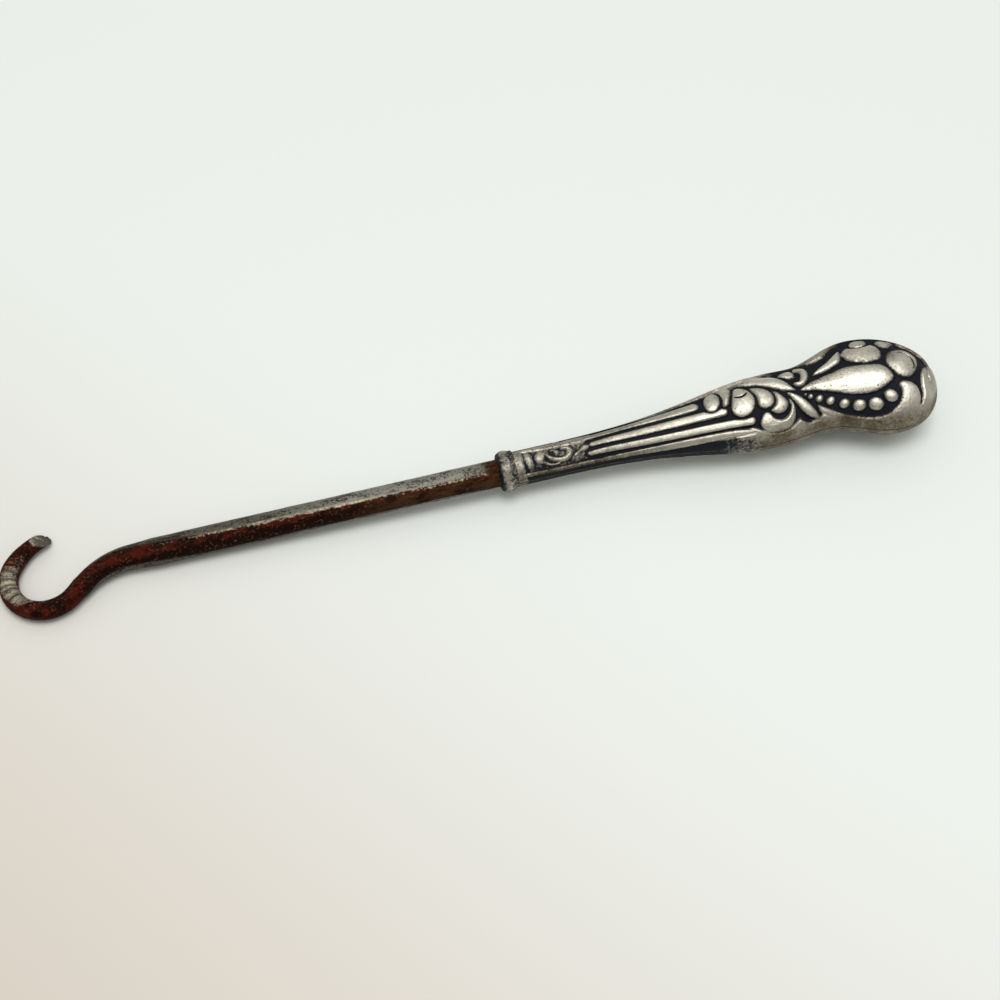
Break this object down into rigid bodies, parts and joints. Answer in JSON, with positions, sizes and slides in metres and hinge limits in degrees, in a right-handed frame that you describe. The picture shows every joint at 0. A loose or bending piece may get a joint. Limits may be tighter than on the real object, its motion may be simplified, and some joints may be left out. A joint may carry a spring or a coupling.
{
  "type": "button hook",
  "caption": "Rigid hand tool: a cranked steel hook on a round shank, set in a hollow pear-ended handle of two embossed silver halves with a beaded collar at its mouth.",
  "frame": {"origin": "middle of the hook's throat, on the axis of the straight shank", "axes": "+X along the shank from the hook towards the handle's butt; +Z out of the ornamented front of the handle, square to the plane in which the hook bends; +Y towards the hook's tip"},
  "size_m": [0.1498, 0.0175, 0.0122],
  "materials": {
    "steel": "forged steel, grey where worn and red-brown with old rust",
    "silver": "die-struck silver, bright on the raised ornament and oxidised black in the recesses",
    "solder": "dull silver solder",
    "pitch": "hard brown-black pitch"
  },
  "bodies": {
    "root": {"hook_shank": "steel", "front_shell": "silver", "back_shell": "silver", "seam_solder": "solder", "mouth_collar": "silver", "pitch_filling": "pitch"}
  },
  "joints": []
}
